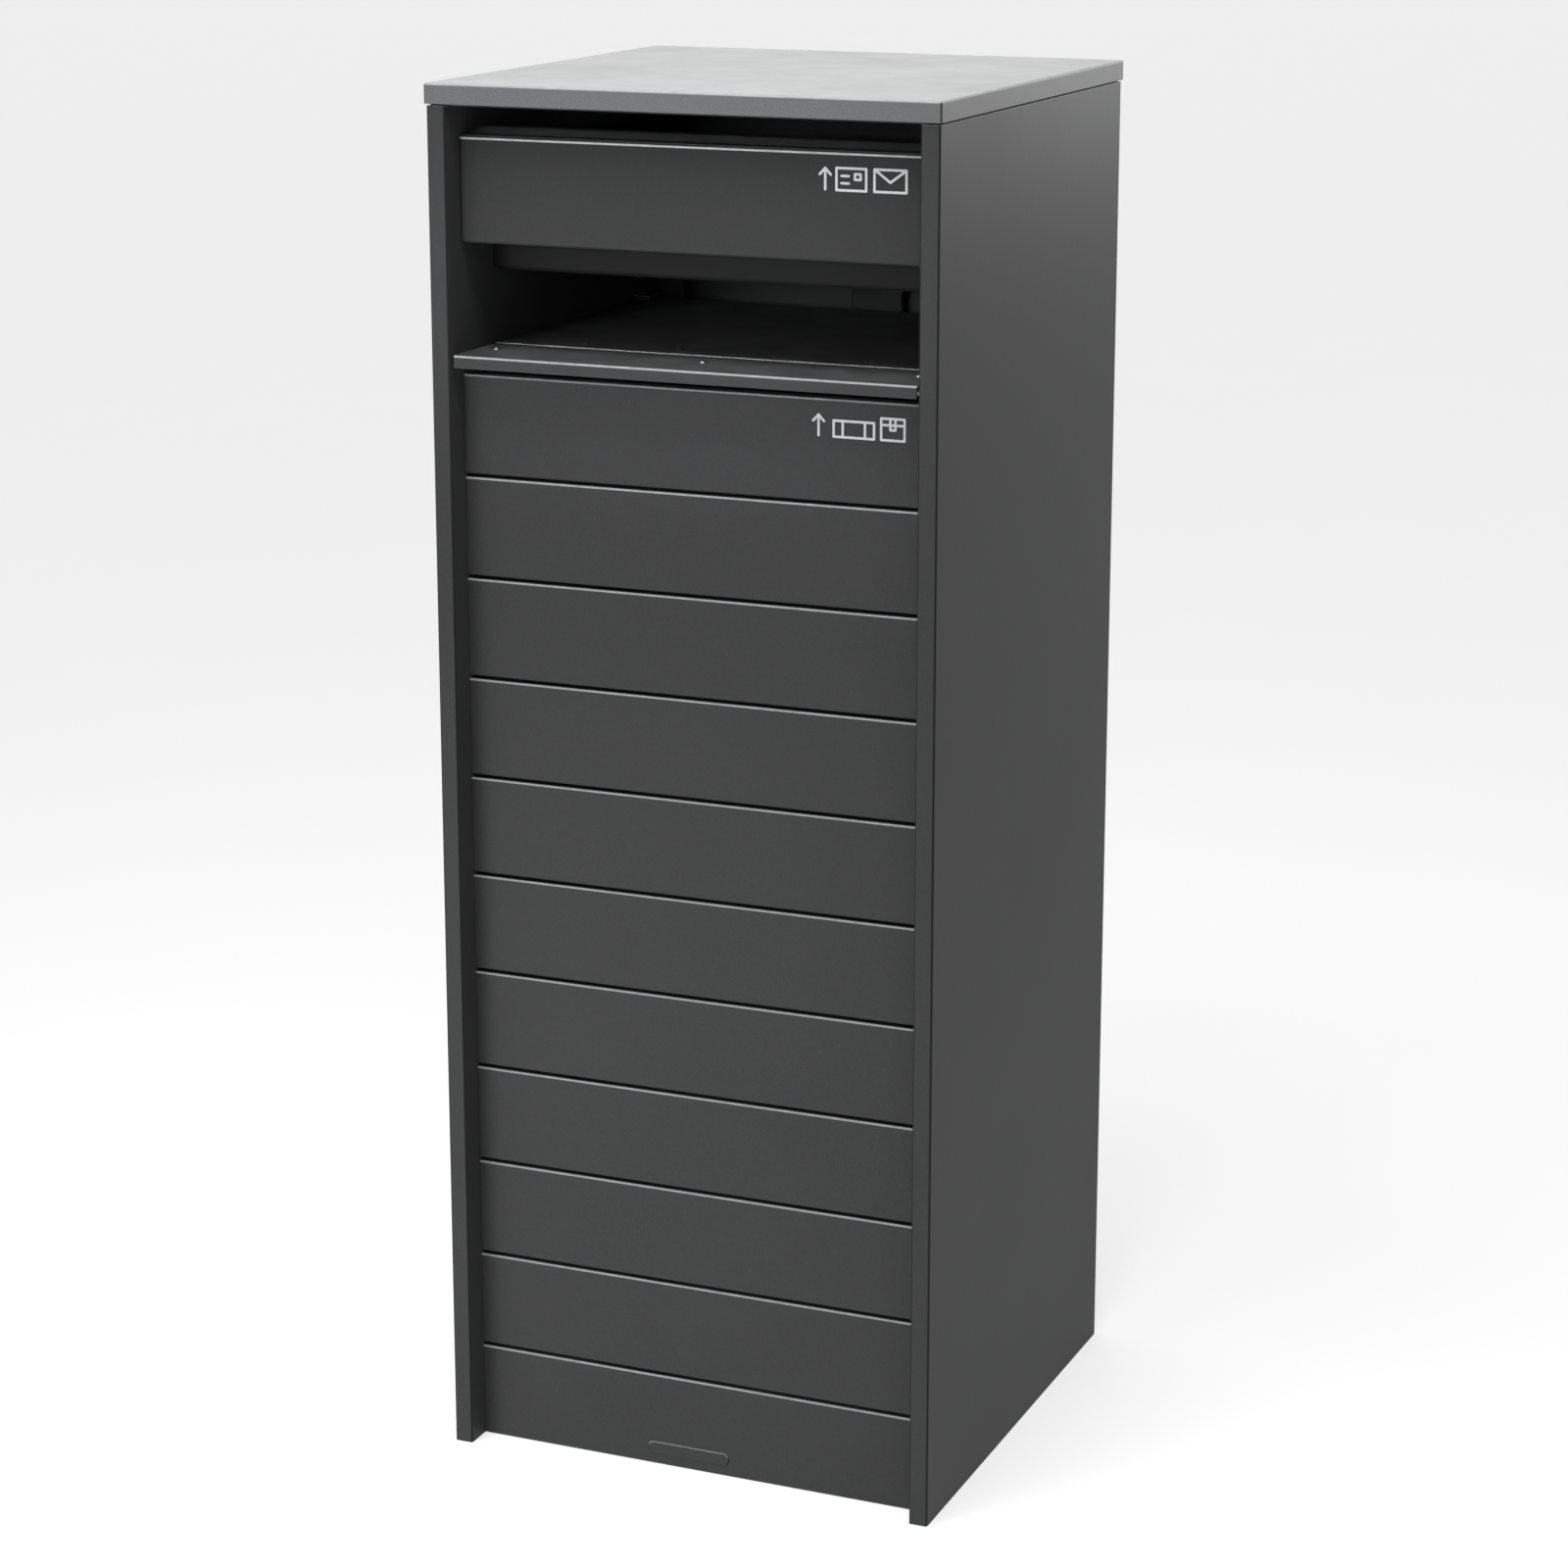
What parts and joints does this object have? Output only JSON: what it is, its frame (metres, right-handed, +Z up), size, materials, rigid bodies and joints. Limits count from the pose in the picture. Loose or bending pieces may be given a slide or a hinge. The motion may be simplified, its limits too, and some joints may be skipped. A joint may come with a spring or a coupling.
{
  "type": "parcel drop box",
  "caption": "Freestanding sheet-steel drop box with a letter slot, an open parcel ledge over a sprung drop flap, a slatted front and a locked rear door.",
  "frame": {"origin": "centre of the box's footprint at ground level", "axes": "+X to the right seen from the front, +Y to the back, +Z up; the slatted front faces -Y"},
  "size_m": [0.453, 0.453, 1.2],
  "materials": {
    "coat": "charcoal satin powder coat",
    "inner_coat": "dark grey powder coat on inner parts",
    "zinc": "bright zinc plate",
    "black_screw": "dark coated steel",
    "spring_steel": "drawn spring wire",
    "lock_chrome": "polished chrome plate",
    "rubber": "matt black rubber"
  },
  "bodies": {
    "cabinet": {"top_cap": "coat", "cap_nuts": "zinc", "top_frame": "inner_coat", "side_panel_left": "coat", "side_panel_right": "coat", "base_plate": "inner_coat", "front_liner": "inner_coat", "slat_01": "coat", "slat_02": "coat", "slat_03": "coat", "slat_04": "coat", "slat_05": "coat", "slat_06": "coat", "slat_07": "coat", "slat_08": "coat", "slat_09": "coat", "slat_10": "coat", "slat_11": "coat", "slat_nuts": "zinc", "letters_panel": "coat", "letter_chute": "coat", "letter_tray": "coat", "tray_screws": "zinc", "ledge_rail": "inner_coat", "parcel_ledge": "coat", "ledge_screws": "black_screw", "ledge_nuts": "zinc", "flap_hinge_leaf_fixed": "inner_coat", "flap_hinge_pin": "zinc", "flap_springs": "spring_steel", "flap_stops": "inner_coat", "flap_stop_pads": "rubber", "flap_lower_stops": "inner_coat", "rear_top_rail": "coat", "rear_bottom_rail": "coat", "door_stop": "inner_coat", "hinge_guard": "inner_coat", "door_seal": "rubber", "door_hinge_leaves_fixed": "inner_coat", "door_hinge_pins": "zinc", "hinge_rivets_fixed": "zinc"},
    "flap": {"drop_flap": "coat", "flap_hinge_leaf_moving": "inner_coat", "flap_rivets": "zinc"},
    "door": {"rear_door": "coat", "door_stiffener": "inner_coat", "door_hinge_leaves_moving": "inner_coat", "hinge_rivets_moving": "zinc", "lock_body": "lock_chrome", "lock_nut": "zinc"},
    "lock_core": {"lock_plug": "lock_chrome", "lock_cam": "zinc", "lock_cam_screw": "zinc"}
  },
  "joints": [
    {"name": "flap_hinge", "type": "hinge", "parent": "cabinet", "child": "flap", "pos_m": [0, -0.143, 0.96995], "axis": [-1, 0, 0], "range_deg": [0, 75], "stiffness_Nm_per_rad": 2.5, "springref_deg": -91.67, "deforming": ["flap_springs"]},
    {"name": "door_hinge", "type": "hinge", "parent": "cabinet", "child": "door", "pos_m": [-0.20425, 0.219, 0.59475], "axis": [0, 0, 1], "range_deg": [0, 120]},
    {"name": "lock_turn", "type": "hinge", "parent": "door", "child": "lock_core", "pos_m": [0.165, 0.22, 0.59475], "axis": [0, -1, 0], "range_deg": [0, 90]}
  ]
}
